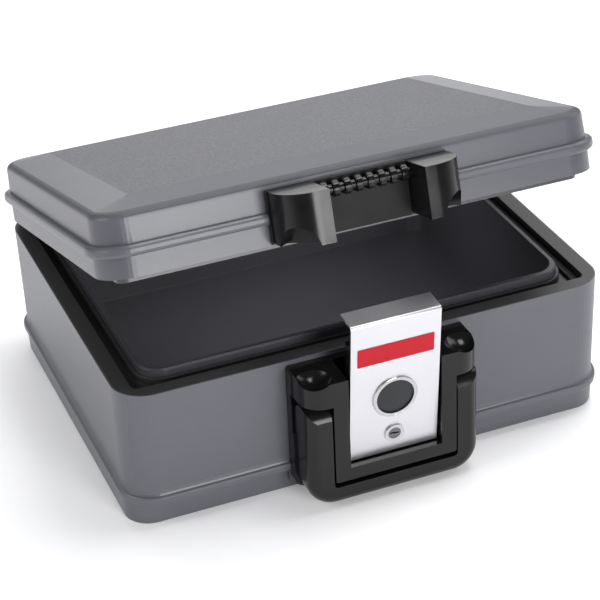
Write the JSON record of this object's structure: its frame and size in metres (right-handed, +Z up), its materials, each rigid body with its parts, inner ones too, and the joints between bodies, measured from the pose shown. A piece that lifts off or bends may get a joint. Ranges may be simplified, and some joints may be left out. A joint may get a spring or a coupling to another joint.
{
  "type": "fireproof document box",
  "caption": "Moulded fire-resistant document chest with a hinged lid, sealed rim, push-button latch with key lock and a U-shaped carry handle.",
  "frame": {"origin": "centre of the body's footprint, on the flat face that it stands on", "axes": "+Z up, +X along the long side to the right, -Y towards the latch"},
  "size_m": [0.3696, 0.3319, 0.2362],
  "materials": {
    "grey_shell": "moulded, fine grain",
    "charcoal_frame": "satin",
    "dark_liner": "satin",
    "insulation": "chalky, cast",
    "seal": "matt",
    "black_plastic": "glossy",
    "hinge_plastic": "satin",
    "satin_metal": "satin, silver white",
    "red_badge": "gloss",
    "chrome_trim": "polished",
    "lock_metal": "turned",
    "button_grey": "fine matt",
    "steel": "zinc plated"
  },
  "bodies": {
    "body": {"lower_shell": "grey_shell", "lower_insulation": "insulation", "rim_frame": "charcoal_frame", "inner_liner": "dark_liner", "rim_gasket": "seal", "latch_housing": "black_plastic", "housing_screws": "steel", "latch_pin": "steel", "handle_pins": "steel", "lower_hinge_leaves": "hinge_plastic", "lower_hinge_screws": "steel", "hinge_pins": "steel", "latch_spring": "steel"},
    "lid": {"lid_shell": "grey_shell", "lid_insulation": "insulation", "lid_liner": "dark_liner", "lid_grip": "black_plastic", "lid_grip_screws": "steel", "upper_hinge_leaves": "hinge_plastic", "upper_hinge_screws": "steel"},
    "latch": {"latch_plate": "satin_metal", "latch_carrier": "black_plastic", "latch_rivets": "steel", "badge": "red_badge", "button_bezel": "chrome_trim", "lock_housing": "chrome_trim", "lock_nut": "steel"},
    "button": {"push_button": "button_grey", "button_clip": "steel", "button_spring": "steel"},
    "lock": {"lock_barrel": "lock_metal", "lock_cam": "steel", "cam_screw": "steel"},
    "handle": {"carry_handle": "black_plastic"}
  },
  "joints": [
    {"name": "lid_hinge", "type": "hinge", "parent": "body", "child": "lid", "pos_m": [0, 0.146, 0.107], "axis": [-1, 0, 0], "range_deg": [-16.7, 78.3]},
    {"name": "latch_pivot", "type": "hinge", "parent": "body", "child": "latch", "pos_m": [0, -0.164, 0.04], "axis": [1, 0, 0], "range_deg": [-5.1, 8]},
    {"name": "button_press", "type": "slide", "parent": "latch", "child": "button", "axis": [0, 0.996, 0.0889], "range_m": [0, 0.003], "stiffness_N_per_m": 500, "springref_m": -0.002, "deforming": ["button_spring"]},
    {"name": "lock_turn", "type": "hinge", "parent": "latch", "child": "lock", "pos_m": [0, -0.16284, 0.04954], "axis": [0, -0.996, -0.0889], "range_deg": [0, 90]},
    {"name": "handle_swing", "type": "hinge", "parent": "body", "child": "handle", "pos_m": [0, -0.164, 0.069], "axis": [-1, 0, 0], "range_deg": [0, 95]}
  ]
}
